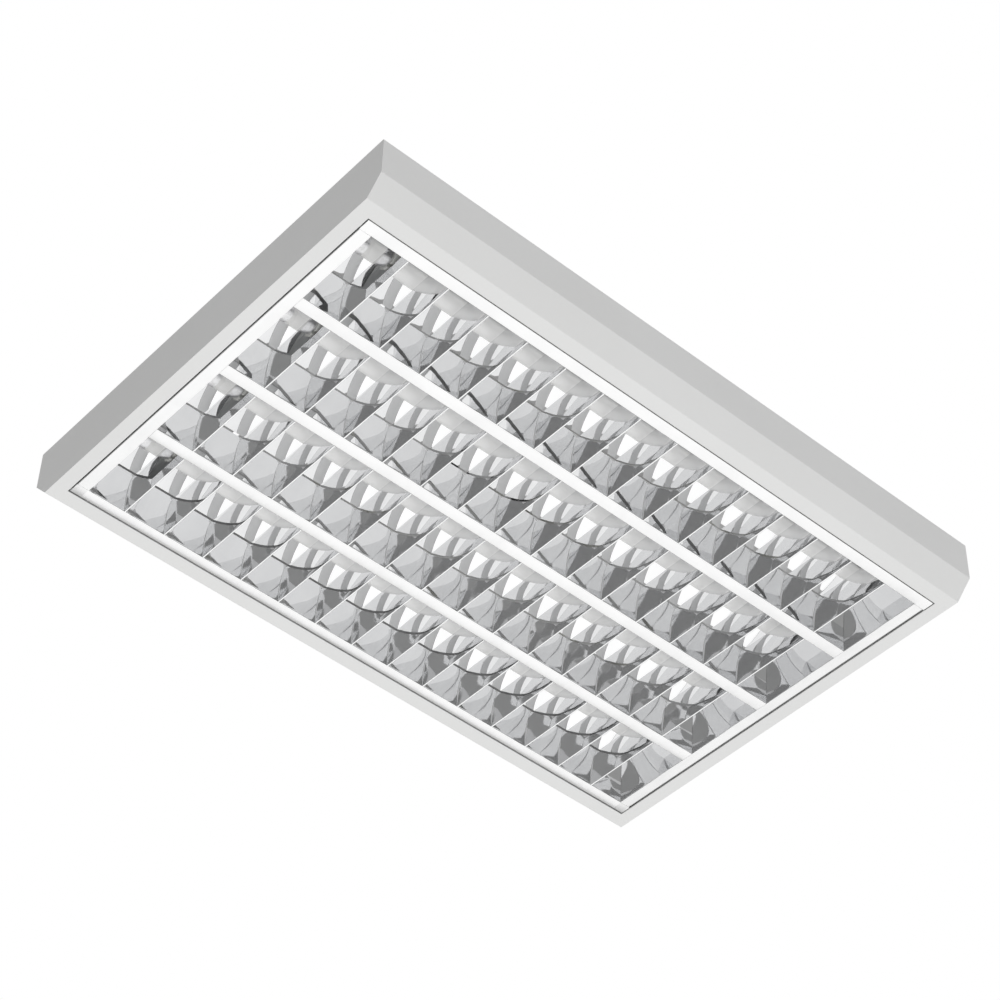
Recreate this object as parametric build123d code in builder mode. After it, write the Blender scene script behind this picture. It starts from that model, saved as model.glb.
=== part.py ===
from build123d import *
import os

os.makedirs("parts", exist_ok=True)

# A surface-mounted luminaire for four slim fluorescent lamps, seen from below through a
# mirror louvre that swings down on two pins. X runs along the lamps, +Z is up, and the
# origin is the centre of the face that lies on the ceiling. The open face looks down.

# Louvre layout
row_count = 4
row_width = 78.5
bar_width = 11.3
edge_bar_width = 10.75
row_overrun = 11.0
blade_count = 14
end_cell = 35.0
end_bar_width = 10.8

# Louvre sheet work
mirror_sheet = 0.5
side_height = 30.0
side_lean = 12.0
side_bow = 1.7
flange_height = 10.0
louvre_fold = 1.5
blade_height = 28.0
blade_sheet = 0.4
blade_edge = 1.2
blade_top = 9.2
blade_lip = 4.6
end_lean = 9.5
end_bow = 1.4
end_foot = 4.0
tongue_length = 9.0
tongue_inset = 1.5
seat_clearance = 0.15
butt_gap = 0.15

# Housing
housing_height = 54.0
sheet = 0.8
fold_radius = 1.2
chamfer_width = 15.0
chamfer_height = 16.5
long_lip = 13.5
end_lip = 12.5
side_gap = 0.8
end_gap = 1.2
top_flange_depth = 11.0
side_flange_depth = 10.0
side_flange_height = 24.0

# Ceiling fixing and supply
fixing_spacing_x = 420.0
fixing_spacing_y = 180.0
fixing_radius = 3.0
entry_x = -70.0
entry_bore = 5.5
entry_neck = 9.0
entry_flange = 12.0
entry_length = 6.0

# Lamps and their rotary holders
lamp_length = 549.0
tube_radius = 8.0
lamp_height = 43.5
cap_length = 12.0
cap_wall = 0.25
pin_radius = 1.18
pin_length = 7.1
pin_spacing = 4.75
holder_gap = 0.5
holder_width = 19.0
holder_bevel = 4.0
holder_depth = 10.0
holder_pocket = 8.0
holder_entry = 3.2
pocket_sides = 8
pocket_clearance = 0.5
tail_width = 6.0
tail_height = 8.0
tail_length = 3.0
bracket_sheet = 1.2
bracket_foot = 9.0
bracket_drop = 21.0

# Lamp reflectors
wing_low = 34.6
wing_tuck = 1.8
wing_high = 47.0
wing_gap = 11.5
wing_bow = 0.8
trough_half = 7.8
reflector_end_gap = 1.0

# Control gear
ballast_length = 280.0
ballast_width = 30.0
ballast_height = 21.0
ballast_base = 1.0
ballast_bevel = 2.0
terminal_length = 18.0
terminal_height = 15.0
terminal_width = 27.0
terminal_ways = 5
way_size = 2.6
way_depth = 8.0
tab_length = 9.0
tab_width = 20.0
clip_sheet = 1.0
clip_width = 12.0
clip_reach = 4.0
clip_foot = 7.0
supply_length = 34.0
supply_width = 18.0
supply_height = 17.0
supply_ways = 3
supply_bevel = 2.5
supply_well = 5.0
earth_x = 70.0
earth_sheet = 0.8
earth_width = 6.3
earth_drop = 12.0
earth_foot = 9.0

# Hinge and spring catches
pivot_inset = 3.0
hinge_pin_radius = 1.0
hinge_clearance = 0.05
hinge_sheet = 1.0
hinge_bracket_gap = 0.5
hinge_bracket_width = 12.0
hinge_bracket_height = 12.0
hinge_foot = 8.0
pin_overhang = 0.6
corner_sheet = 1.0
corner_arm = 28.0
corner_clearance = 0.5
lug_height = 8.5
spring_sheet = 0.4
spring_width = 12.0
spring_spacing = 300.0
spring_clearance = 0.3
spring_foot = 10.0
spring_crest = 7.0
spring_top = 12.5
spring_rise = 2.5

# What follows from them
row_pitch = row_width + bar_width
row_length = lamp_length + 2 * row_overrun
cell_pitch = (row_length - 2 * end_cell) / (blade_count - 1)
louvre_width = row_count * row_width + (row_count - 1) * bar_width + 2 * edge_bar_width
louvre_length = row_length + 2 * end_bar_width
opening_width = louvre_width + 2 * side_gap
housing_width = opening_width + 2 * (long_lip + chamfer_width)
housing_length = louvre_length + 2 * (end_gap + end_lip)
body_length = housing_length - 2 * sheet
face_z = -housing_height
lamp_z = face_z + lamp_height
row_centres = [(row - (row_count - 1) / 2) * row_pitch for row in range(row_count)]
bar_centres = [(bar - (row_count - 2) / 2) * row_pitch for bar in range(row_count - 1)]
blade_places = [(blade - (blade_count - 1) / 2) * cell_pitch for blade in range(blade_count)]
row_end = row_length / 2
louvre_end = louvre_length / 2
louvre_edge = louvre_width / 2
inner_edge = louvre_edge - edge_bar_width
side_top = face_z + side_height
foot_z = face_z + mirror_sheet
holder_front = lamp_length / 2 + holder_gap
holder_back = holder_front + holder_depth
pivot_y = louvre_edge - pivot_inset
pivot_z = face_z + pivot_inset
ballast_rows = [bar_centres[0], bar_centres[-1]]
pocket_radius = pin_spacing / 2 + pin_radius + pocket_clearance
cover_length = ballast_length - 2 * (tab_length + terminal_length)


# The housing's outer section, chamfered along the two long lower edges
housing_half = housing_width / 2
shoulder_z = face_z + chamfer_height
housing_points = [
    (-housing_half, 0),
    (housing_half, 0),
    (housing_half, shoulder_z),
    (housing_half - chamfer_width, face_z),
    (chamfer_width - housing_half, face_z),
    (-housing_half, shoulder_z),
]

# The space between a row's two side reflectors, less what a blade needs to seat
cavity_low = row_width / 2 - seat_clearance
cavity_high = cavity_low - side_lean
cavity_middle = (cavity_low + cavity_high) / 2 + side_bow
cavity_points = [
    (-cavity_low, face_z),
    (cavity_low, face_z),
    (cavity_middle, face_z + side_height / 2),
    (cavity_high, side_top),
    (-cavity_high, side_top),
    (-cavity_middle, face_z + side_height / 2),
]


# Housing: one folded channel, lips and all, and a folded plate at each end
with BuildPart() as housing_body:
    with BuildSketch(Plane.YZ) as housing_section:
        Polygon(*housing_points, align=None)
        fillet(housing_section.vertices(), fold_radius)
        offset(amount=-sheet, mode=Mode.SUBTRACT)
        with Locations((0, face_z)):
            Rectangle(opening_width, 4 * sheet, mode=Mode.SUBTRACT)
    extrude(amount=body_length / 2, both=True)
    with BuildSketch(Plane.XY):
        with GridLocations(fixing_spacing_x, fixing_spacing_y, 2, 2):
            Circle(fixing_radius)
        with Locations((entry_x, 0)):
            Circle(entry_neck)
    extrude(amount=-sheet, mode=Mode.SUBTRACT)
housing_body.part.label = "housing_body"
export_step(housing_body.part, "parts/housing_body.step")

with BuildPart() as end_plate_right:
    plate_inside = housing_length / 2 - sheet
    with BuildSketch(Plane.YZ.offset(plate_inside)) as plate_section:
        Polygon(*housing_points, align=None)
        fillet(plate_section.vertices(), fold_radius)
    extrude(amount=sheet)
    with Locations((plate_inside, 0, face_z)):
        Box(end_lip - sheet, opening_width, sheet, align=(Align.MAX, Align.CENTER, Align.MIN))
    with Locations((plate_inside, 0, -sheet)):
        Box(
            top_flange_depth,
            opening_width,
            sheet,
            align=(Align.MAX, Align.CENTER, Align.MAX),
        )
    flange_y = housing_width / 2 - sheet
    flange_z = (face_z + chamfer_height) / 2
    with Locations((plate_inside, flange_y, flange_z)):
        Box(side_flange_depth, sheet, side_flange_height, align=(Align.MAX, Align.MAX, Align.CENTER))
    with Locations((plate_inside, -flange_y, flange_z)):
        Box(side_flange_depth, sheet, side_flange_height, align=(Align.MAX, Align.MIN, Align.CENTER))
end_plate_right.part.label = "end_plate_right"
export_step(end_plate_right.part, "parts/end_plate_right.step")

with BuildPart() as end_plate_left:
    mirror(end_plate_right.part, about=Plane.YZ)
end_plate_left.part.label = "end_plate_left"
export_step(end_plate_left.part, "parts/end_plate_left.step")

# Bushing where the supply cable comes through the ceiling face
with BuildPart() as cable_bushing:
    with BuildSketch(Plane.XY):
        with Locations((entry_x, 0)):
            Circle(entry_neck)
    extrude(amount=-sheet)
    with BuildSketch(Plane.XY.offset(-sheet)):
        with Locations((entry_x, 0)):
            Circle(entry_flange)
    extrude(amount=sheet - entry_length)
    with BuildSketch(Plane.XY):
        with Locations((entry_x, 0)):
            Circle(entry_bore)
    extrude(amount=-entry_length, mode=Mode.SUBTRACT)
cable_bushing.part.label = "cable_bushing"
export_step(cable_bushing.part, "parts/cable_bushing.step")

# Angles that carry the lampholders, one across each end
with BuildPart() as lampholder_bracket_right:
    with BuildSketch(Plane.XZ):
        with BuildLine():
            Polyline(
                (holder_back, -sheet - bracket_drop),
                (holder_back, -sheet),
                (holder_back + bracket_foot, -sheet),
            )
            offset(amount=bracket_sheet, side=Side.RIGHT)
        make_face()
    extrude(amount=opening_width / 2, both=True)
    with BuildSketch(Plane.YZ.offset(holder_back)):
        with Locations(*[(row_y, lamp_z) for row_y in row_centres]):
            Rectangle(tail_width + 2 * seat_clearance, tail_height + 2 * seat_clearance)
    extrude(amount=bracket_sheet, mode=Mode.SUBTRACT)
lampholder_bracket_right.part.label = "lampholder_bracket_right"
export_step(lampholder_bracket_right.part, "parts/lampholder_bracket_right.step")

with BuildPart() as lampholder_bracket_left:
    mirror(lampholder_bracket_right.part, about=Plane.YZ)
lampholder_bracket_left.part.label = "lampholder_bracket_left"
export_step(lampholder_bracket_left.part, "parts/lampholder_bracket_left.step")

# Lampholders: the lamp's pins enter a moulded chamber by a slot from below and turn in it
with BuildPart() as lampholders_right:
    with BuildSketch(Plane.YZ.offset(holder_front)) as holder_section:
        with Locations(*[(row_y, lamp_z) for row_y in row_centres]):
            Rectangle(holder_width, holder_width)
        chamfer(holder_section.vertices().group_by(Axis.Z)[0], holder_bevel)
    extrude(amount=holder_depth)
    with BuildSketch(Plane.YZ.offset(holder_front)):
        with Locations(*[(row_y, lamp_z) for row_y in row_centres]):
            RegularPolygon(pocket_radius, pocket_sides, major_radius=False)
            Rectangle(holder_entry, holder_width, align=(Align.CENTER, Align.MAX))
    extrude(amount=holder_pocket, mode=Mode.SUBTRACT)
    with BuildSketch(Plane.YZ.offset(holder_back)):
        with Locations(*[(row_y, lamp_z) for row_y in row_centres]):
            Rectangle(tail_width, tail_height)
    extrude(amount=tail_length)
lampholders_right.part.label = "lampholders_right"
export_step(lampholders_right.part, "parts/lampholders_right.step")

with BuildPart() as lampholders_left:
    mirror(lampholders_right.part, about=Plane.YZ)
lampholders_left.part.label = "lampholders_left"
export_step(lampholders_left.part, "parts/lampholders_left.step")

for number, row_y in enumerate(row_centres, start=1):
    # Lamp: a glass tube between two caps, each with the pair of pins that it turns on
    with BuildPart() as lamp_tube:
        with BuildSketch(Plane.YZ):
            with Locations((row_y, lamp_z)):
                Circle(tube_radius)
        extrude(amount=lamp_length / 2 - cap_length, both=True)
    lamp_tube.part.label = f"lamp_tube_{number}"
    export_step(lamp_tube.part, f"parts/lamp_tube_{number}.step")

    with BuildPart() as lamp_caps:
        with BuildSketch(Plane.YZ.offset(lamp_length / 2 - cap_length)):
            with Locations((row_y, lamp_z)):
                Circle(tube_radius + cap_wall)
        extrude(amount=cap_length)
        with BuildSketch(Plane.YZ.offset(lamp_length / 2)):
            with Locations((row_y, lamp_z)):
                with GridLocations(pin_spacing, 0, 2, 1):
                    Circle(pin_radius)
        extrude(amount=pin_length)
        mirror(about=Plane.YZ)
    lamp_caps.part.label = f"lamp_caps_{number}"
    export_step(lamp_caps.part, f"parts/lamp_caps_{number}.step")

    # Lamp reflector: two bowed wings and a trough over the lamp, folded from one strip
    with BuildPart() as lamp_reflector:
        wing_edge = row_width / 2 - side_lean + wing_tuck
        with BuildSketch(Plane.YZ):
            with BuildLine():
                SagittaArc(
                    (row_y + wing_edge, face_z + wing_low),
                    (row_y + wing_gap, face_z + wing_high),
                    -wing_bow,
                )
                Polyline(
                    (row_y + wing_gap, face_z + wing_high),
                    (row_y + trough_half, -sheet),
                    (row_y - trough_half, -sheet),
                    (row_y - wing_gap, face_z + wing_high),
                )
                SagittaArc(
                    (row_y - wing_gap, face_z + wing_high),
                    (row_y - wing_edge, face_z + wing_low),
                    -wing_bow,
                )
                offset(amount=mirror_sheet, side=Side.LEFT)
            make_face()
        extrude(amount=holder_front - reflector_end_gap, both=True)
    lamp_reflector.part.label = f"lamp_reflector_{number}"
    export_step(lamp_reflector.part, f"parts/lamp_reflector_{number}.step")

    # Cross blades: V-folded mirror strips whose walls stand upright at the top
    with BuildPart() as cross_blades:
        with BuildSketch(Plane.XZ.offset(-row_y)) as blade_section:
            for blade_x in blade_places:
                with BuildLine():
                    Polyline(
                        (blade_x - blade_top / 2, face_z + blade_height),
                        (blade_x - blade_top / 2, face_z + blade_height - blade_lip),
                        (blade_x - blade_edge / 2, face_z),
                        (blade_x + blade_edge / 2, face_z),
                        (blade_x + blade_top / 2, face_z + blade_height - blade_lip),
                        (blade_x + blade_top / 2, face_z + blade_height),
                    )
                    offset(amount=blade_sheet, side=Side.LEFT, kind=Kind.INTERSECTION)
                make_face()
        extrude(amount=row_width / 2, both=True)
        with BuildSketch(Plane.YZ):
            with Locations((row_y, 0)):
                Polygon(*cavity_points, align=None)
        extrude(amount=louvre_end, both=True, mode=Mode.INTERSECT)
    cross_blades.part.label = f"cross_blades_{number}"
    export_step(cross_blades.part, f"parts/cross_blades_{number}.step")

# Curved reflectors that close both ends of every row, each on a foot on the end bar
with BuildPart() as end_reflectors_right:
    with BuildSketch(Plane.XZ):
        with BuildLine():
            Line((row_end + end_foot, foot_z), (row_end, foot_z))
            SagittaArc((row_end, foot_z), (row_end - end_lean, side_top), -end_bow)
            offset(amount=mirror_sheet, side=Side.RIGHT, kind=Kind.INTERSECTION)
        make_face()
    extrude(amount=louvre_edge, both=True)
    with BuildSketch(Plane.YZ):
        with Locations(*[(row_y, 0) for row_y in row_centres]):
            Polygon(*cavity_points, align=None)
    extrude(amount=louvre_end, both=True, mode=Mode.INTERSECT)
end_reflectors_right.part.label = "end_reflectors_right"
export_step(end_reflectors_right.part, "parts/end_reflectors_right.step")

with BuildPart() as end_reflectors_left:
    mirror(end_reflectors_right.part, about=Plane.YZ)
end_reflectors_left.part.label = "end_reflectors_left"
export_step(end_reflectors_left.part, "parts/end_reflectors_left.step")

# Louvre frame: edge bars run the full length, with the bowed side reflector in one piece
with BuildPart() as frame_bar_rear:
    with BuildSketch(Plane.YZ):
        with BuildLine() as edge_path:
            Polyline(
                (louvre_edge, face_z + flange_height),
                (louvre_edge, face_z),
                (inner_edge, face_z),
            )
            fillet(edge_path.vertices().sort_by(Axis.X)[-2:].sort_by(Axis.Y)[0], louvre_fold)
            SagittaArc((inner_edge, face_z), (inner_edge - side_lean, side_top), -side_bow)
            offset(amount=mirror_sheet, side=Side.RIGHT)
        make_face()
    extrude(amount=louvre_end, both=True)
    for end in (-1, 1):
        notch_align = Align.MIN if end > 0 else Align.MAX
        with Locations((end * (row_end + mirror_sheet), inner_edge + 2 * mirror_sheet, foot_z)):
            Box(
                end_bar_width,
                side_lean + 4 * mirror_sheet,
                side_height,
                align=(notch_align, Align.MAX, Align.MIN),
                mode=Mode.SUBTRACT,
            )
frame_bar_rear.part.label = "frame_bar_rear"
export_step(frame_bar_rear.part, "parts/frame_bar_rear.step")

with BuildPart() as frame_bar_front:
    mirror(frame_bar_rear.part, about=Plane.XZ)
frame_bar_front.part.label = "frame_bar_front"
export_step(frame_bar_front.part, "parts/frame_bar_front.step")

with BuildPart() as frame_bar_right:
    with BuildSketch(Plane.XZ):
        with BuildLine() as end_path:
            Polyline(
                (louvre_end, face_z + flange_height),
                (louvre_end, face_z),
                (row_end, face_z),
            )
            fillet(end_path.vertices().sort_by(Axis.X)[-2:].sort_by(Axis.Y)[0], louvre_fold)
            offset(amount=mirror_sheet, side=Side.RIGHT)
        make_face()
    extrude(amount=inner_edge - butt_gap, both=True)
frame_bar_right.part.label = "frame_bar_right"
export_step(frame_bar_right.part, "parts/frame_bar_right.step")

with BuildPart() as frame_bar_left:
    mirror(frame_bar_right.part, about=Plane.YZ)
frame_bar_left.part.label = "frame_bar_left"
export_step(frame_bar_left.part, "parts/frame_bar_left.step")

# Centre profiles between the rows, with tongues that lie on the end bars
for number, bar_y in enumerate(bar_centres, start=1):
    with BuildPart() as centre_profile:
        left = bar_y - bar_width / 2
        right = bar_y + bar_width / 2
        with BuildSketch(Plane.YZ):
            with BuildLine():
                SagittaArc((left - side_lean, side_top), (left, face_z), side_bow)
                Line((left, face_z), (right, face_z))
                SagittaArc((right, face_z), (right + side_lean, side_top), side_bow)
                offset(amount=mirror_sheet, side=Side.LEFT)
            make_face()
        extrude(amount=row_end - butt_gap, both=True)
        for end in (-1, 1):
            with Locations((end * row_end, bar_y, foot_z)):
                Box(
                    2 * tongue_length,
                    bar_width - 2 * tongue_inset,
                    mirror_sheet,
                    align=(Align.CENTER, Align.CENTER, Align.MIN),
                )
    centre_profile.part.label = f"centre_profile_{number}"
    export_step(centre_profile.part, f"parts/centre_profile_{number}.step")

# Corner angles inside the louvre frame, each with a lug turned up at its outer end
with BuildPart() as corner_angles:
    arm_end = louvre_end - louvre_fold
    arm_out = louvre_edge - louvre_fold
    arm_in = inner_edge + 3 * mirror_sheet
    foot_end = row_end + end_foot + corner_clearance
    with BuildSketch(Plane.XY.offset(foot_z)):
        with BuildLine():
            Polyline(
                (arm_end, arm_out),
                (arm_end - corner_arm, arm_out),
                (arm_end - corner_arm, arm_in),
                (foot_end, arm_in),
                (foot_end, arm_out - corner_arm),
                (arm_end, arm_out - corner_arm),
                close=True,
            )
        make_face()
    extrude(amount=corner_sheet)
    with BuildSketch(Plane.YZ.offset(arm_end - corner_sheet)):
        with Locations((arm_out, foot_z)):
            Rectangle(arm_out - arm_in, lug_height, align=(Align.MAX, Align.MIN))
    extrude(amount=corner_sheet)
    mirror(about=Plane.YZ)
    mirror(about=Plane.XZ)
corner_angles.part.label = "corner_angles"
export_step(corner_angles.part, "parts/corner_angles.step")

# Hinge: a pin staked to each rear lug turns in a bracket that stands on the end lip
bracket_x = housing_length / 2 - end_lip + hinge_bracket_gap
with BuildPart() as hinge_brackets:
    with BuildSketch(Plane.XZ.offset(-pivot_y)):
        with BuildLine():
            Polyline(
                (bracket_x, face_z + sheet + hinge_bracket_height),
                (bracket_x, face_z + sheet),
                (bracket_x + hinge_foot, face_z + sheet),
            )
            offset(amount=hinge_sheet, side=Side.LEFT)
        make_face()
    extrude(amount=hinge_bracket_width / 2, both=True)
    with BuildSketch(Plane.YZ.offset(bracket_x)):
        with Locations((pivot_y, pivot_z)):
            Circle(hinge_pin_radius + hinge_clearance)
    extrude(amount=hinge_sheet, mode=Mode.SUBTRACT)
    mirror(about=Plane.YZ)
hinge_brackets.part.label = "hinge_brackets"
export_step(hinge_brackets.part, "parts/hinge_brackets.step")

with BuildPart() as hinge_pins:
    with BuildSketch(Plane.YZ.offset(arm_end)):
        with Locations((pivot_y, pivot_z)):
            Circle(hinge_pin_radius)
    extrude(amount=bracket_x + hinge_sheet + pin_overhang - arm_end)
    mirror(about=Plane.YZ)
hinge_pins.part.label = "hinge_pins"
export_step(hinge_pins.part, "parts/hinge_pins.step")

# Leaf springs on the front lip press on the louvre's flange and hold it shut
with BuildPart() as latch_springs:
    crest_y = -louvre_edge - spring_clearance
    heel_y = -opening_width / 2 - spring_rise
    with BuildSketch(Plane.YZ.offset(spring_spacing / 2 - spring_width / 2)):
        with BuildLine():
            Polyline(
                (heel_y - spring_foot, face_z + sheet),
                (heel_y, face_z + sheet),
                (crest_y, face_z + spring_crest),
                (heel_y, face_z + spring_top),
            )
            offset(amount=spring_sheet, side=Side.LEFT)
        make_face()
    extrude(amount=spring_width)
    mirror(about=Plane.YZ)
latch_springs.part.label = "latch_springs"
export_step(latch_springs.part, "parts/latch_springs.step")

# Control gear: two flat ballasts, their end tabs held by clips welded to the housing
tab_end = ballast_length / 2
for name, gear_y in zip(("ballast_front", "ballast_rear"), ballast_rows):
    with BuildPart() as ballast:
        with Locations((0, gear_y, -sheet)):
            Box(
                ballast_length,
                tab_width,
                ballast_base,
                align=(Align.CENTER, Align.CENTER, Align.MAX),
            )
            Box(
                cover_length,
                ballast_width,
                ballast_height,
                align=(Align.CENTER, Align.CENTER, Align.MAX),
            )
        chamfer(ballast.edges().filter_by(Axis.X).group_by(Axis.Z)[0], ballast_bevel)
    ballast.part.label = name
    export_step(ballast.part, f"parts/{name}.step")

with BuildPart() as gear_clips:
    for gear_y in ballast_rows:
        with BuildSketch(Plane.XZ.offset(-gear_y)):
            with BuildLine():
                Polyline(
                    (tab_end - clip_reach, -sheet - ballast_base),
                    (tab_end + clip_sheet, -sheet - ballast_base),
                    (tab_end + clip_sheet, -sheet),
                    (tab_end + clip_sheet + clip_foot, -sheet),
                )
                offset(amount=clip_sheet, side=Side.RIGHT, kind=Kind.INTERSECTION)
            make_face()
        extrude(amount=clip_width / 2, both=True)
    mirror(about=Plane.YZ)
gear_clips.part.label = "gear_clips"
export_step(gear_clips.part, "parts/gear_clips.step")

with BuildPart() as ballast_terminals:
    terminal_z = -sheet - ballast_base
    terminal_x = (cover_length + terminal_length) / 2
    terminal_places = [(end * terminal_x, gear_y) for end in (-1, 1) for gear_y in ballast_rows]
    with BuildSketch(Plane.XY.offset(terminal_z)):
        with Locations(*terminal_places):
            Rectangle(terminal_length, terminal_width)
    extrude(amount=-terminal_height)
    with BuildSketch(Plane.XY.offset(terminal_z - terminal_height)):
        with Locations(*terminal_places):
            with GridLocations(0, terminal_width / terminal_ways, 1, terminal_ways):
                Rectangle(way_size, way_size)
    extrude(amount=way_depth, mode=Mode.SUBTRACT)
ballast_terminals.part.label = "ballast_terminals"
export_step(ballast_terminals.part, "parts/ballast_terminals.step")

# Supply terminal block beside the cable bushing, with a wire way and a screw well a pole
with BuildPart() as supply_terminal:
    supply_pitch = supply_length / supply_ways
    with Locations((0, 0, -sheet)):
        Box(
            supply_length,
            supply_width,
            supply_height,
            align=(Align.CENTER, Align.CENTER, Align.MAX),
        )
    chamfer(supply_terminal.edges().filter_by(Axis.X).group_by(Axis.Z)[0], supply_bevel)
    with BuildSketch(Plane.XY.offset(-sheet - supply_height)):
        with GridLocations(supply_pitch, 0, supply_ways, 1):
            Rectangle(supply_well, supply_well)
    extrude(amount=way_depth, mode=Mode.SUBTRACT)
    with BuildSketch(Plane.XZ.offset(supply_width / 2)):
        with Locations((0, -sheet - supply_height / 2)):
            with GridLocations(supply_pitch, 0, supply_ways, 1):
                Rectangle(supply_well, supply_well)
    extrude(amount=-supply_width, mode=Mode.SUBTRACT)
supply_terminal.part.label = "supply_terminal"
export_step(supply_terminal.part, "parts/supply_terminal.step")

# Earth tab: a folded blade welded to the ceiling face
with BuildPart() as earth_tab:
    with BuildSketch(Plane.XZ):
        with BuildLine():
            Polyline(
                (earth_x + earth_foot, -sheet),
                (earth_x, -sheet),
                (earth_x, -sheet - earth_drop),
            )
            offset(amount=earth_sheet, side=Side.LEFT)
        make_face()
    extrude(amount=earth_width / 2, both=True)
earth_tab.part.label = "earth_tab"
export_step(earth_tab.part, "parts/earth_tab.step")
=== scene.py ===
import math

import bmesh
import bpy
from mathutils import Matrix, Vector


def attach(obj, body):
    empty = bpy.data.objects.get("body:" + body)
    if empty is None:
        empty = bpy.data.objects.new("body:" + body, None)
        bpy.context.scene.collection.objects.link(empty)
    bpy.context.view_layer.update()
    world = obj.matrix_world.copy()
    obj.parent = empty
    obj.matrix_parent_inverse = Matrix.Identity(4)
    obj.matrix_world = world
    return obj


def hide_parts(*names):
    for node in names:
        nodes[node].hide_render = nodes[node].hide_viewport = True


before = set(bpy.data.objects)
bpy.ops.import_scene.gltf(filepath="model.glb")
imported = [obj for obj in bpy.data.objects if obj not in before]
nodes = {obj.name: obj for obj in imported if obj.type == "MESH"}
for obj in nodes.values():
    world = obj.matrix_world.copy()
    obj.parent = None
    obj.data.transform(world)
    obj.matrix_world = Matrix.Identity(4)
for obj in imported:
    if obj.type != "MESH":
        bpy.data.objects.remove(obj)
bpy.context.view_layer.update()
mm = 0.001
rowPlaces = {1: -134.7, 2: -44.9, 3: 44.9, 4: 134.7}  # the lamps' y, in mm
gapPlaces = {1: -89.8, 2: 0.0, 3: 89.8}  # the bars between the rows
faceZ = -54.0  # the plane of the louvre and of the lips round it
print("frame loaded,", len(nodes), "nodes")


# A node's output, usable in plain arithmetic
class Socket:
    def __init__(self, finish, end):
        self.finish, self.end = finish, end

    def sum(self, operation, first, second):
        return self.finish.node("Math", {"operation": operation}, {0: first, 1: second})

    def __add__(self, other):
        return self.sum("ADD", self, other)

    def __sub__(self, other):
        return self.sum("SUBTRACT", self, other)

    def __mul__(self, other):
        return self.sum("MULTIPLY", self, other)

    def __truediv__(self, other):
        return self.sum("DIVIDE", self, other)

    def __radd__(self, other):
        return self.sum("ADD", other, self)

    def __rsub__(self, other):
        return self.sum("SUBTRACT", other, self)

    def __rmul__(self, other):
        return self.sum("MULTIPLY", other, self)

    def __rtruediv__(self, other):
        return self.sum("DIVIDE", other, self)

    def atLeast(self, other):
        return self.sum("MAXIMUM", self, other)


# A node tree that is being built, of a material or of the world
class Finish:
    def __init__(self, owner):
        owner.use_nodes = True
        self.owner, self.tree = owner, owner.node_tree
        self.tree.nodes.clear()

    # settings go in first, then the sockets' values or links
    def node(self, kind, settings=None, sockets=None, output=0):
        made = self.tree.nodes.new("ShaderNode" + kind)
        for name, value in (settings or {}).items():
            if name == "stops":
                self.stops(made.color_ramp, value)
            else:
                setattr(made, name, value)
        for name, value in (sockets or {}).items():
            self.feed(made.inputs[name], value)
        return Socket(self, made.outputs[output]) if made.outputs else None

    def feed(self, target, value):
        if isinstance(value, Socket):
            self.tree.links.new(value.end, target)
        else:
            target.default_value = value

    def stops(self, ramp, wanted):
        while len(ramp.elements) < len(wanted):
            ramp.elements.new(0.5)
        for element, (place, shade) in zip(ramp.elements, wanted):
            element.position = place
            element.color = (shade, shade, shade, 1)

    # object coordinates are the part's own, in metres
    def place(self, scale=(1, 1, 1), turn=(0, 0, 0)):
        where = self.node("TexCoord", output="Object")
        return self.node("Mapping", None, {"Vector": where, "Scale": scale, "Rotation": turn})

    def noise(self, scale, detail, rough, vector=None, distortion=0.0):
        sockets = {"Vector": vector or self.place(), "Scale": scale, "Detail": detail}
        sockets.update({"Roughness": rough, "Distortion": distortion})
        return self.node("TexNoise", None, sockets)

    def mix(self, factor, first, second):
        tones = [tone if isinstance(tone, Socket) else (*tone, 1) for tone in (first, second)]
        return self.node("Mix", {"data_type": "RGBA"}, {0: factor, 6: tones[0], 7: tones[1]}, 2)

    # each stop is its place and its shade
    def ramp(self, factor, *stops):
        return self.node("ValToRGB", {"stops": stops}, {"Fac": factor})

    def bump(self, height, strength, distance, under=None):
        sockets = {"Height": height, "Strength": strength, "Distance": distance}
        if under:
            sockets["Normal"] = under
        return self.node("Bump", None, sockets)

    def surface(self, **sockets):
        named = {name.replace("_", " "): value for name, value in sockets.items()}
        self.node("OutputMaterial", None, {"Surface": self.node("BsdfPrincipled", None, named)})
        return self.owner


def newFinish(name):
    return Finish(bpy.data.materials.new(name))


# White powder coat: fine orange peel, a trace of dust and of tone from panel to panel
paintLook = dict(
    colour=(0.80, 0.802, 0.80),
    shaded=(0.775, 0.776, 0.772),
    dust=(0.74, 0.735, 0.72),
    dustAmount=0.5,
    speckScale=950.0,
    cloudScale=5.0,
    roughness=0.34,
    peelSize=0.0016,
    peelDepth=0.00004,
    gloss=1.5,
)


def makePaint():
    paint = newFinish("whitePowderCoat")
    peel = paint.noise(1 / paintLook["peelSize"], detail=2.0, rough=0.55)
    cloud = paint.noise(paintLook["cloudScale"], detail=3.0, rough=0.6)
    speck = paint.noise(paintLook["speckScale"], detail=1.0, rough=0.4)
    dusty = paint.ramp(speck, (0.74, 0.0), (0.80, 1.0)) * paintLook["dustAmount"]
    tone = paint.mix(
        paint.ramp(cloud, (0.35, 0.0), (0.75, 1.0)), paintLook["colour"], paintLook["shaded"]
    )
    return paint.surface(
        Base_Color=paint.mix(dusty, tone, paintLook["dust"]),
        Roughness=paintLook["roughness"] + 0.10 * peel + 0.06 * cloud,
        Normal=paint.bump(peel, strength=0.35, distance=paintLook["peelDepth"]),
        IOR=paintLook["gloss"],
    )


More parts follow.
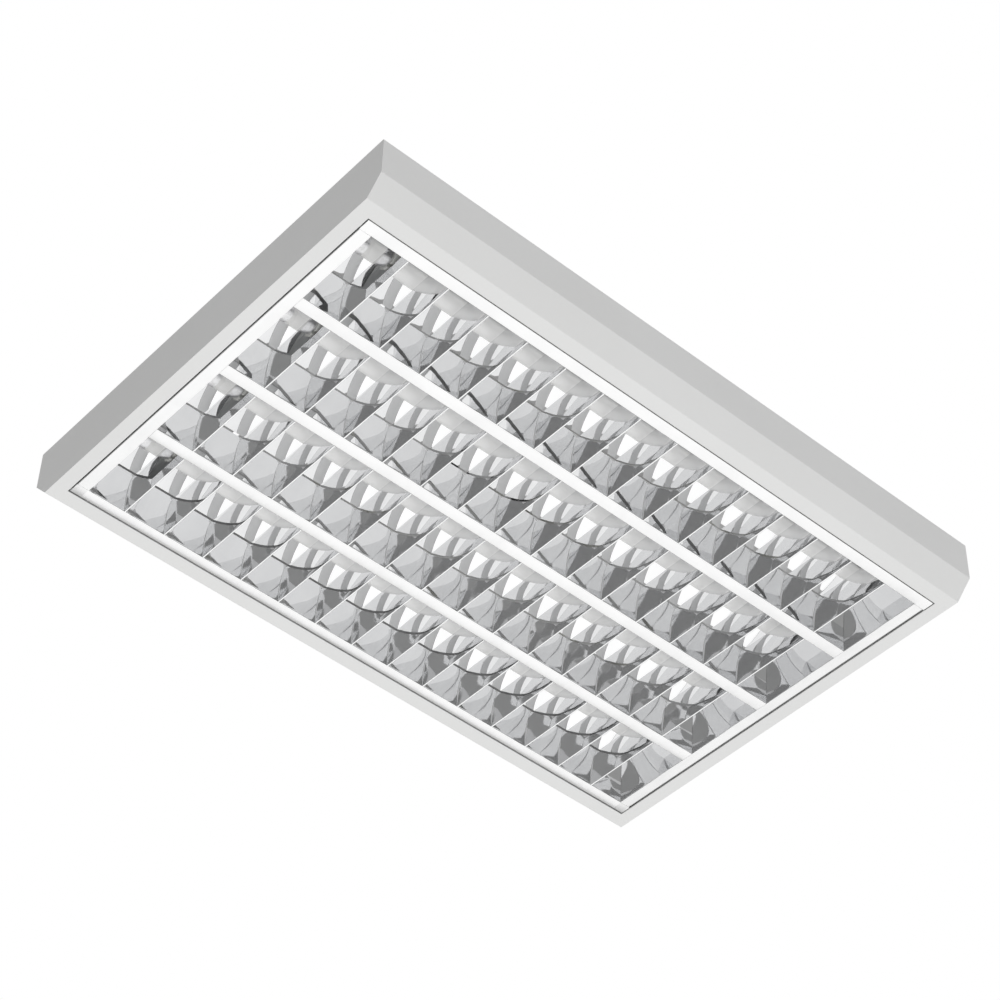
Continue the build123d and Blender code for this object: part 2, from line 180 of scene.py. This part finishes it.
# Bright anodised sheet: nearly a mirror, rolled along its length, a little wavy and wiped
mirrorLook = dict(
    colour=(0.81, 0.812, 0.816),
    dull=(0.78, 0.782, 0.787),
    roughness=0.02,
    waveSize=0.045,
    waveDepth=0.00014,
    grainSize=0.0009,
    grainDepth=0.0000025,
    grainStretch=0.02,  # of the grain's scale, along the rolling direction
    smudgeScale=22.0,
    wipeScale=160.0,
)

# The bars' flat faces are satin, and a shade duller
barLook = dict(colour=(0.80, 0.801, 0.803), dull=(0.76, 0.761, 0.764), roughness=0.17)


def makeMirror(name, look, along, wave):
    sheet = newFinish(name)
    long = mirrorLook["grainStretch"]
    rolled = sheet.place((long, 1, 1) if along == "x" else (1, long, 1))
    grain = sheet.noise(1 / mirrorLook["grainSize"], detail=2.0, rough=0.6, vector=rolled)
    swell = sheet.noise(1 / mirrorLook["waveSize"], detail=1.0, rough=0.4)
    smudge = sheet.noise(mirrorLook["smudgeScale"], detail=4.0, rough=0.62, distortion=0.6)
    slanted = sheet.place(scale=(1.0, 0.12, 0.4), turn=(0.3, 0.5, 0.8))
    wipe = sheet.noise(mirrorLook["wipeScale"], detail=3.0, rough=0.6, vector=slanted)
    worn = sheet.ramp(wipe, (0.50, 0.0), (0.78, 1.0))
    waves = sheet.bump(swell, strength=wave, distance=mirrorLook["waveDepth"])
    return sheet.surface(
        Base_Color=sheet.mix(
            sheet.ramp(smudge, (0.42, 0.0), (0.72, 1.0)), look["colour"], look["dull"]
        ),
        Metallic=1.0,
        Roughness=look["roughness"] + 0.02 * smudge + 0.03 * worn,
        Normal=sheet.bump(grain, strength=0.25, distance=mirrorLook["grainDepth"], under=waves),
    )


# The mirror sheet's other face is as it left the mill: pale, satin, with rolled lines
backLook = dict(
    colour=(0.97, 0.971, 0.972),
    dull=(0.95, 0.951, 0.952),
    metallic=0.10,
    roughness=0.50,
    lineSize=0.0007,
    lineDepth=0.000008,
    bloomScale=75.0,
    glow=0.10,  # not physical: it lifts the shaded hollows a little
)


def makeBack():
    back = newFinish("millFinishBack")
    rolled = back.place(scale=(0.03, 1, 1))
    lines = back.noise(1 / backLook["lineSize"], detail=2.0, rough=0.6, vector=rolled)
    bloom = back.noise(backLook["bloomScale"], detail=3.0, rough=0.6)
    return back.surface(
        Base_Color=back.mix(
            back.ramp(bloom, (0.4, 0.0), (0.75, 1.0)), backLook["colour"], backLook["dull"]
        ),
        Metallic=backLook["metallic"],
        Roughness=backLook["roughness"] + 0.1 * lines + 0.06 * bloom,
        Normal=back.bump(lines, strength=0.25, distance=backLook["lineDepth"]),
        Emission_Color=(1, 1, 1, 1),
        Emission_Strength=backLook["glow"],
    )


# Galvanised sheet: zinc spangle and a dull bloom
zincLook = dict(
    colour=(0.72, 0.73, 0.74),
    bright=(0.82, 0.83, 0.84),
    bloom=(0.62, 0.62, 0.61),
    bloomScale=60.0,
    bloomAmount=0.35,
    spangle=0.006,
    metallic=0.70,
    roughness=0.30,
    depth=0.00005,
)


def makeZinc():
    zinc = newFinish("galvanisedSheet")
    cells = {"Vector": zinc.place(), "Scale": 1 / zincLook["spangle"]}
    flake = zinc.node("TexVoronoi", {"feature": "F1"}, cells, 1)
    shade = zinc.node("SeparateColor", None, {"Color": flake})
    bloom = zinc.noise(zincLook["bloomScale"], detail=4.0, rough=0.65)
    tone = zinc.mix(shade, zincLook["colour"], zincLook["bright"])
    return zinc.surface(
        Base_Color=zinc.mix(zincLook["bloomAmount"] * bloom, tone, zincLook["bloom"]),
        Metallic=zincLook["metallic"],
        Roughness=zincLook["roughness"] + 0.16 * shade + 0.14 * bloom,
        Normal=zinc.bump(bloom, strength=0.2, distance=zincLook["depth"]),
    )


# Spring steel: cold-drawn lines and an oily straw tint
springLook = dict(
    colour=(0.50, 0.50, 0.51),
    tint=(0.56, 0.52, 0.46),
    tintScale=45.0,
    roughness=0.22,
    lineScale=900.0,
    lineDepth=0.00001,
)


def makeSpring():
    spring = newFinish("springSteel")
    drawn = spring.place(scale=(0.05, 1, 1))
    lines = spring.noise(springLook["lineScale"], detail=2.0, rough=0.6, vector=drawn)
    heat = spring.noise(springLook["tintScale"], detail=2.0, rough=0.5)
    return spring.surface(
        Base_Color=spring.mix(
            spring.ramp(heat, (0.45, 0.0), (0.7, 1.0)), springLook["colour"], springLook["tint"]
        ),
        Metallic=1.0,
        Roughness=springLook["roughness"] + 0.18 * lines,
        Normal=spring.bump(lines, strength=0.3, distance=springLook["lineDepth"]),
    )


# Lamp: clear glass over an even white powder that thins and greys at the ends
lampLook = dict(
    powder=(0.60, 0.60, 0.598),
    grain=(0.54, 0.54, 0.53),
    grainScale=1500.0,
    grainAmount=0.12,
    grey=(0.40, 0.398, 0.39),
    halfLength=0.2625,
    fade=0.022,
    fadeScale=120.0,  # of the fade's ragged edge
    roughness=0.42,
    depth=0.00002,
    glassRoughness=0.03,
    glow=0.24,  # not physical: it lifts the lamps behind the cells a little
)


def makeLampGlass():
    glass = newFinish("coatedLampGlass")
    along = glass.node("SeparateXYZ", None, {"Vector": glass.node("TexCoord", output="Object")})
    fromMiddle = glass.node("Math", {"operation": "ABSOLUTE"}, {0: along})
    grain = glass.noise(lampLook["grainScale"], detail=2.0, rough=0.6)
    ragged = glass.noise(lampLook["fadeScale"], detail=3.0, rough=0.6)
    end = (fromMiddle - (lampLook["halfLength"] - lampLook["fade"])) / lampLook["fade"]
    end = glass.ramp(end + 0.25 * ragged, (0.20, 0.0), (0.95, 0.5), (1.0, 0.8))
    tone = glass.mix(end, lampLook["powder"], lampLook["grey"])
    return glass.surface(
        Base_Color=glass.mix(lampLook["grainAmount"] * grain, tone, lampLook["grain"]),
        Roughness=lampLook["roughness"] + 0.2 * grain,
        Normal=glass.bump(grain, strength=0.12, distance=lampLook["depth"]),
        Coat_Weight=1.0,
        Coat_Roughness=lampLook["glassRoughness"],
        Emission_Color=(1, 1, 0.99, 1),
        Emission_Strength=lampLook["glow"],
    )


# Aluminium caps: turned rings and a scuffed, dulled skin
capLook = dict(
    colour=(0.78, 0.78, 0.79),
    worn=(0.58, 0.58, 0.57),
    ringScale=1 / (0.0011 * 3.14),  # rings about 1.1 mm apart
    scuffScale=420.0,
    metallic=0.95,
    roughness=0.24,
    depth=0.00004,
)


def makeCap():
    cap = newFinish("lampCapAluminium")
    bands = {"Vector": cap.place(), "Scale": capLook["ringScale"], "Distortion": 0.4, "Detail": 1.0}
    rings = cap.node("TexWave", {"bands_direction": "X", "wave_profile": "SIN"}, bands, 1)
    scuff = cap.noise(capLook["scuffScale"], detail=3.0, rough=0.7)
    return cap.surface(
        Base_Color=cap.mix(
            cap.ramp(scuff, (0.5, 0.0), (0.75, 1.0)), capLook["colour"], capLook["worn"]
        ),
        Metallic=capLook["metallic"],
        Roughness=capLook["roughness"] + 0.22 * scuff,
        Normal=cap.bump(rings + 0.4 * scuff, strength=0.25, distance=capLook["depth"]),
    )


# Moulded plastics: a fine spark-eroded skin, flow marks and a little gloss
holderLook = dict(colour=(0.86, 0.86, 0.83), dark=(0.78, 0.78, 0.74), roughness=0.30, skin=900.0)
gearLook = dict(colour=(0.80, 0.80, 0.79), dark=(0.72, 0.72, 0.71), roughness=0.46, skin=700.0)
terminalLook = dict(colour=(0.70, 0.70, 0.66), dark=(0.58, 0.58, 0.54), roughness=0.38, skin=1100.0)
plasticLook = dict(flowScale=38.0, depth=0.00004, gloss=1.5)


def makePlastic(name, look):
    plastic = newFinish(name)
    grit = plastic.noise(look["skin"], detail=2.0, rough=0.6)
    filled = plastic.place(scale=(1, 0.35, 1))
    flow = plastic.noise(plasticLook["flowScale"], detail=3.0, rough=0.55, vector=filled)
    return plastic.surface(
        Base_Color=plastic.mix(
            plastic.ramp(flow, (0.4, 0.0), (0.8, 0.7)), look["colour"], look["dark"]
        ),
        Roughness=look["roughness"] + 0.14 * grit + 0.05 * flow,
        Normal=plastic.bump(grit, strength=0.3, distance=plasticLook["depth"]),
        IOR=plasticLook["gloss"],
    )


# Soft dark bushing: dusty bloom over matt rubber
rubberLook = dict(
    colour=(0.035, 0.035, 0.037),
    bloom=(0.10, 0.10, 0.10),
    bloomScale=260.0,
    roughness=0.62,
    depth=0.00006,
)


def makeRubber():
    rubber = newFinish("bushingRubber")
    bloom = rubber.noise(rubberLook["bloomScale"], detail=4.0, rough=0.65)
    return rubber.surface(
        Base_Color=rubber.mix(
            rubber.ramp(bloom, (0.45, 0.0), (0.8, 1.0)), rubberLook["colour"], rubberLook["bloom"]
        ),
        Roughness=rubberLook["roughness"] + 0.22 * bloom,
        Normal=rubber.bump(bloom, strength=0.35, distance=rubberLook["depth"]),
    )


finishes = dict(
    paint=makePaint(),
    side=makeMirror("mirrorSheetAlongRow", mirrorLook, "x", wave=0.5),
    blade=makeMirror("mirrorSheetAcrossRow", mirrorLook, "y", wave=0.4),
    bar=makeMirror("satinBarFace", barLook, "x", wave=0.3),
    endBar=makeMirror("satinEndBarFace", barLook, "y", wave=0.3),
    back=makeBack(),
    zinc=makeZinc(),
    spring=makeSpring(),
    glass=makeLampGlass(),
    cap=makeCap(),
    rubber=makeRubber(),
    holder=makePlastic("lampholderPlastic", holderLook),
    gear=makePlastic("ballastCasePlastic", gearLook),
    terminal=makePlastic("terminalPlastic", terminalLook),
)
print("finishes made,", len(finishes))

# Sheet-metal shapes are in mm until the mesh is written
shaping = dict(
    arcSteps=20,
    foldSteps=5,
    leastBend=0.25,  # radians, below which a corner isn't rounded
    mostCut=0.49,  # of the shorter leg, above which it isn't either
    leastMiter=0.5,
    leastLength=1e-9,
    sharpAngle=32,  # degrees
    alongSections=8,
    acrossSections=6,
)


# an arc from start to end that bulges by sag to the left of travel
def sagArc(start, end, sag):
    (x0, y0), (x1, y1) = start, end
    chord = math.hypot(x1 - x0, y1 - y0)
    side = 1 if sag > 0 else -1
    radius = (chord * chord / 4 + sag * sag) / (2 * abs(sag))
    leftX, leftY = -(y1 - y0) / chord, (x1 - x0) / chord
    centreX = (x0 + x1) / 2 + leftX * side * (abs(sag) - radius)
    centreY = (y0 + y1) / 2 + leftY * side * (abs(sag) - radius)
    first = math.atan2(y0 - centreY, x0 - centreX)
    last = math.atan2(y1 - centreY, x1 - centreX)
    sweep = (last - first + math.pi) % (2 * math.pi) - math.pi
    steps = shaping["arcSteps"]
    angles = [first + sweep * i / steps for i in range(steps + 1)]
    return [(centreX + radius * math.cos(a), centreY + radius * math.sin(a)) for a in angles]


# the same run of points, with each sharp fold rounded to radius
def foldedLine(points, radius):
    rounded = [points[0]]
    for before, here, after in zip(points, points[1:], points[2:]):
        corner = Vector(here)
        back, ahead = Vector(before) - corner, Vector(after) - corner
        bend = math.pi - back.angle(ahead)
        cut = radius * math.tan(bend / 2)
        if bend < shaping["leastBend"] or cut > shaping["mostCut"] * min(back.length, ahead.length):
            rounded.append(here)
            continue
        start = corner + back.normalized() * cut
        end = corner + ahead.normalized() * cut
        for i in range(shaping["foldSteps"] + 1):
            t = i / shaping["foldSteps"]
            bow = start * (1 - t) ** 2 + corner * 2 * t * (1 - t) + end * t * t
            rounded.append((bow.x, bow.y))
    return rounded + [points[-1]]


# the sheet's other face, to the left of travel for a positive thickness
def beside(points, thickness):
    other = []
    for i, here in enumerate(points):
        before, after = points[max(i - 1, 0)], points[min(i + 1, len(points) - 1)]
        into, out = Vector(here) - Vector(before), Vector(after) - Vector(here)
        into = into if into.length > shaping["leastLength"] else out
        out = out if out.length > shaping["leastLength"] else into
        into, out = into.normalized(), out.normalized()
        normal = Vector((-into.y - out.y, into.x + out.x)).normalized()
        miter = max(shaping["leastMiter"], normal.dot(Vector((-into.y, into.x))))
        across, height = here
        other.append((across + normal.x * thickness / miter, height + normal.y * thickness / miter))
    return other


# Sweeps a folded sheet along one axis. ends gives the run's two ends for a point's height.
# back is the sheet's dull face: 1 for the offset one, 0 for the line itself.
def addSheet(bm, line, thickness, axis, ends, sections=1, back=1):
    grid = []
    for face in (line, beside(line, thickness)):
        rows = []
        for across, height in face:
            low, high = ends(height)
            run = [low + (high - low) * i / sections for i in range(sections + 1)]
            rows.append([bm.verts.new(sheetPoint(axis, across, height, s) * mm) for s in run])
        grid.append(rows)
    top, under = grid
    for i in range(len(line) - 1):
        for j in range(sections):
            lineFace = bm.faces.new((top[i][j], top[i + 1][j], top[i + 1][j + 1], top[i][j + 1]))
            offsetFace = bm.faces.new(
                (under[i][j], under[i][j + 1], under[i + 1][j + 1], under[i + 1][j])
            )
            (offsetFace if back else lineFace).material_index = 1
        for j in (0, sections):
            bm.faces.new((top[i][j], under[i][j], under[i + 1][j], top[i + 1][j]))
    for i in (0, len(line) - 1):
        for j in range(sections):
            bm.faces.new((top[i][j], top[i][j + 1], under[i][j + 1], under[i][j]))


def sheetPoint(axis, across, height, along):
    return Vector((along, across, height)) if axis == "x" else Vector((across, along, height))


# the flat face of a bar, which people wipe and touch, takes the third of a piece's finishes
def markBarFace(bm):
    for face in bm.faces:
        if face.calc_center_median().z < (faceZ + louvre["faceBand"]) * mm:
            face.material_index = 2


def finishPiece(name, bm, looks, body, *replaced):
    bmesh.ops.recalc_face_normals(bm, faces=bm.faces)
    mesh = bpy.data.meshes.new(name)
    bm.to_mesh(mesh)
    bm.free()
    mesh.polygons.foreach_set("use_smooth", [True] * len(mesh.polygons))
    mesh.set_sharp_from_angle(angle=math.radians(shaping["sharpAngle"]))
    for look in looks:
        mesh.materials.append(finishes[look])
    piece = bpy.data.objects.new(name, mesh)
    bpy.context.scene.collection.objects.link(piece)
    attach(piece, body)
    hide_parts(*replaced)


# Louvre: a frame and three bars of mirror sheet, with cross blades between them
louvre = dict(
    sheet=0.5,
    fold=0.45,
    rowHalf=39.25,
    lean=12.0,  # how far a side reflector leans in over its height
    bow=1.7,
    bulge=1.76,  # about the same bow, measured level
    sideHeight=30.0,
    sideGap=0.12,  # between a side reflector and what ends on it
    barHalf=5.65,
    barGap=0.15,  # between a centre bar and an end bar
    rowEnd=285.5,
    end=296.3,
    edge=184.7,
    edgeBar=10.75,
    flange=10.0,
    flangeFold=1.5,
    notchGap=0.5,
    faceBand=0.2,  # a face this near the louvre's plane is a bar's flat face
)
sideTop = faceZ + louvre["sideHeight"]
barLooks, bladeLooks, wingLooks = ("side", "back", "bar"), ("blade", "back"), ("side", "back")


# half the width between a row's two side reflectors, at a height
def sideReach(height):
    u = min(max((height - faceZ) / louvre["sideHeight"], 0.0), 1.0)
    return louvre["rowHalf"] - louvre["lean"] * u + 4 * louvre["bulge"] * u * (1 - u)


# the ends of a sheet that fits between the side reflectors of the row at y
def betweenSides(y):
    def ends(height):
        reach = sideReach(height)
        return (y - reach + louvre["sideGap"], y + reach - louvre["sideGap"])

    return ends


def makeCentreProfiles():
    reach = louvre["rowEnd"] - louvre["barGap"]
    for number, y in gapPlaces.items():
        left, right = y - louvre["barHalf"], y + louvre["barHalf"]
        down = sagArc((left - louvre["lean"], sideTop), (left, faceZ), louvre["bow"])
        up = sagArc((right, faceZ), (right + louvre["lean"], sideTop), louvre["bow"])
        line = foldedLine(down + up, louvre["fold"])
        bm = bmesh.new()
        addSheet(bm, line, louvre["sheet"], "x", lambda height: (-reach, reach), shaping["alongSections"])
        markBarFace(bm)
        finishPiece(f"centreBar_{number}", bm, barLooks, "louvre", f"centre_profile_{number}")


def makeLongBars():
    end, notch = louvre["end"], louvre["rowEnd"] + louvre["notchGap"]
    edge, inner = louvre["edge"], louvre["edge"] - louvre["edgeBar"]
    for name, side, node in (("longBarRear", 1, "frame_bar_rear"), ("longBarFront", -1, "frame_bar_front")):
        flangeTop = (side * edge, faceZ + louvre["flange"])
        foot = foldedLine(
            [flangeTop, (side * edge, faceZ), (side * inner, faceZ)], louvre["flangeFold"]
        )
        wallTop = (side * (inner - louvre["lean"]), sideTop)
        wall = sagArc((side * inner, faceZ), wallTop, -side * louvre["bow"])
        whole = foldedLine(foot + wall[1:], louvre["fold"])
        thickness = -side * louvre["sheet"]
        bm = bmesh.new()
        addSheet(bm, whole, thickness, "x", lambda height: (-notch, notch), shaping["alongSections"])
        addSheet(bm, foot, thickness, "x", lambda height: (-end, -notch))
        addSheet(bm, foot, thickness, "x", lambda height: (notch, end))
        markBarFace(bm)
        finishPiece(name, bm, barLooks, "louvre", node)


# End reflectors: a foot on the end bar and a bowed wall that leans in over the row
endMirror = dict(sheet=0.5, foot=4.0, top=276.0, bow=1.4)


def makeEndReflectors():
    onBar = faceZ + endMirror["sheet"]
    corner = (louvre["rowEnd"], onBar)
    run = [(louvre["rowEnd"] + endMirror["foot"], onBar), corner]
    run += sagArc(corner, (endMirror["top"], sideTop), -endMirror["bow"])[1:]
    for name, side in (("right", 1), ("left", -1)):
        line = foldedLine([(side * x, z) for x, z in run], louvre["fold"])
        bm = bmesh.new()
        for y in rowPlaces.values():
            addSheet(bm, line, -side * endMirror["sheet"], "y", betweenSides(y), shaping["acrossSections"])
        finishPiece(f"endMirrors_{name}", bm, bladeLooks, "louvre", f"end_reflectors_{name}")


# Cross blades: folded to a narrow foot, with walls that stand upright at the top
blade = dict(
    count=14,
    pitch=38.538,
    height=28.0,
    upright=4.6,
    topHalf=4.6,
    footHalf=0.6,
    sheet=0.4,
    fold=0.35,
)


def makeBlades():
    height, top = blade["height"], blade["topHalf"]
    half = [(top, height), (top, height - blade["upright"]), (blade["footHalf"], 0.0)]
    for number, y in rowPlaces.items():
        bm = bmesh.new()
        for i in range(blade["count"]):
            x = (i - (blade["count"] - 1) / 2) * blade["pitch"]
            run = [(x - a, faceZ + h) for a, h in half] + [(x + a, faceZ + h) for a, h in reversed(half)]
            line = foldedLine(run, blade["fold"])
            addSheet(bm, line, blade["sheet"], "y", betweenSides(y), shaping["acrossSections"])
        finishPiece(f"blades_{number}", bm, bladeLooks, "louvre", f"cross_blades_{number}")


makeCentreProfiles()
makeLongBars()
makeEndReflectors()
makeBlades()
print("louvre made")


# Reflector over each lamp: a trough with a bowed wing on either side
wing = dict(
    low=34.6,
    high=47.0,
    tuck=1.8,
    gap=11.5,
    bow=0.8,
    trough=7.8,
    troughTop=-0.8,
    reach=274.0,
    sheet=0.5,
)


def makeLampReflectors():
    outer = louvre["rowHalf"] - louvre["lean"] + wing["tuck"]
    lowZ, highZ, topZ = faceZ + wing["low"], faceZ + wing["high"], wing["troughTop"]
    reach = wing["reach"]
    for number, y in rowPlaces.items():
        left = sagArc((y - outer, lowZ), (y - wing["gap"], highZ), wing["bow"])
        right = sagArc((y + wing["gap"], highZ), (y + outer, lowZ), wing["bow"])
        trough = [(y - wing["trough"], topZ), (y + wing["trough"], topZ)]
        line = foldedLine(left + trough + right, louvre["fold"])
        bm = bmesh.new()
        addSheet(
            bm, line, -wing["sheet"], "x", lambda height: (-reach, reach), shaping["alongSections"], 0
        )
        finishPiece(f"lampMirror_{number}", bm, wingLooks, "housing", f"lamp_reflector_{number}")


makeLampReflectors()
print("lamp reflectors made")


# The parts that keep their CAD shape, by finish
nodeFinishes = dict(
    paint=["housing_body", "end_plate_left", "end_plate_right"],
    rubber=["cable_bushing"],
    zinc=[
        "lampholder_bracket_left",
        "lampholder_bracket_right",
        "gear_clips",
        "earth_tab",
        "hinge_brackets",
        "corner_angles",
    ],
    holder=["lampholders_left", "lampholders_right"],
    gear=["ballast_front", "ballast_rear"],
    terminal=["ballast_terminals", "supply_terminal"],
    spring=["latch_springs", "hinge_pins"],
    endBar=["frame_bar_left", "frame_bar_right"],
    glass=[f"lamp_tube_{number}" for number in rowPlaces],
    cap=[f"lamp_caps_{number}" for number in rowPlaces],
)
for finish, names in nodeFinishes.items():
    for nodeName in names:
        mesh = nodes[nodeName].data
        mesh.materials.clear()
        mesh.materials.append(finishes[finish])
print("parts finished,", sum(len(names) for names in nodeFinishes.values()))


# Studio: a pale floor under a wide soft light, in an even room
studio = dict(
    floorZ=-2.6,
    floorSize=14.0,
    floorColour=(0.80, 0.80, 0.79),
    floorShade=(0.77, 0.77, 0.76),
    floorCloudScale=1.2,
    floorRoughness=0.7,
    roomLevel=0.49,
    roomFront=0.31,  # more light from the long side that faces the camera
    roomLeft=-0.16,  # less from the end that faces it
    tableLevel=0.83,
    tableSize=5.6,
    tableLift=0.05,
    backdrop=1.0,
)


def makeFloor():
    bm = bmesh.new()
    bmesh.ops.create_grid(bm, x_segments=8, y_segments=8, size=studio["floorSize"] / 2)
    mesh = bpy.data.meshes.new("floor")
    bm.to_mesh(mesh)
    bm.free()
    floor = bpy.data.objects.new("floor", mesh)
    floor.location.z = studio["floorZ"]
    bpy.context.scene.collection.objects.link(floor)
    pale = newFinish("paleFloor")
    cloud = pale.noise(studio["floorCloudScale"], detail=3.0, rough=0.5)
    mesh.materials.append(
        pale.surface(
            Base_Color=pale.mix(cloud, studio["floorColour"], studio["floorShade"]),
            Roughness=studio["floorRoughness"] + 0.1 * cloud,
        )
    )


# the camera sees a plain white room, and the part is lit by an uneven one
def makeWorld():
    world = bpy.data.worlds.new("studio")
    bpy.context.scene.world = world
    sky = Finish(world)
    seen = sky.node("LightPath", output="Is Camera Ray")
    where = sky.node("TexCoord", output="Generated")
    alongX, alongY = (sky.node("SeparateXYZ", None, {"Vector": where}, axis) for axis in "XY")
    room = studio["roomLevel"] + studio["roomFront"] * (0 - alongY).atLeast(0)
    room = room + studio["roomLeft"] * (0 - alongX).atLeast(0)
    level = seen * studio["backdrop"] + (1 - seen) * room
    shade = sky.node("Background", None, {"Color": (1, 1, 1, 1), "Strength": level})
    sky.node("OutputWorld", None, {"Surface": shade})


# a soft panel over the floor, facing up
def makeLightTable():
    size = studio["tableSize"]
    light = bpy.data.lights.new("lightTable", "AREA")
    light.shape, light.size, light.size_y = "RECTANGLE", size, size
    light.energy = studio["tableLevel"] * math.pi * size**2
    table = bpy.data.objects.new("lightTable", light)
    table.location.z = studio["floorZ"] + studio["tableLift"]
    table.rotation_euler = Vector((0, 0, 1)).to_track_quat("-Z", "Y").to_euler()
    table.visible_camera = False
    bpy.context.scene.collection.objects.link(table)


makeFloor()
makeWorld()
makeLightTable()
print("studio made")


# Camera, solved from the photograph's corners
camera = dict(
    place=(-1.03174, -1.20431, -1.58543),
    right=(0.74989319, -0.66128005, 0.01920669),
    down=(0.47792476, 0.52143645, -0.70688892),
    ahead=(0.45743648, 0.53927054, 0.70706375),
    lens=99.546,
    sensor=36.0,
    nearest=0.05,
    farthest=60.0,
)


def makeCamera():
    lens = bpy.data.cameras.new("photoView")
    lens.sensor_width, lens.lens = camera["sensor"], camera["lens"]
    lens.clip_start, lens.clip_end = camera["nearest"], camera["farthest"]
    eye = bpy.data.objects.new("photoView", lens)
    turn = Matrix((camera["right"], -Vector(camera["down"]), -Vector(camera["ahead"]))).transposed()
    eye.matrix_world = Matrix.Translation(camera["place"]) @ turn.to_4x4()
    bpy.context.scene.collection.objects.link(eye)
    bpy.context.scene.camera = eye


# light bounces many times between the louvre's mirrors
bounces = dict(all=16, mirror=12)

makeCamera()
bpy.context.scene.view_settings.view_transform = "Standard"
bpy.context.scene.cycles.max_bounces = bounces["all"]
bpy.context.scene.cycles.glossy_bounces = bounces["mirror"]
print("camera set")
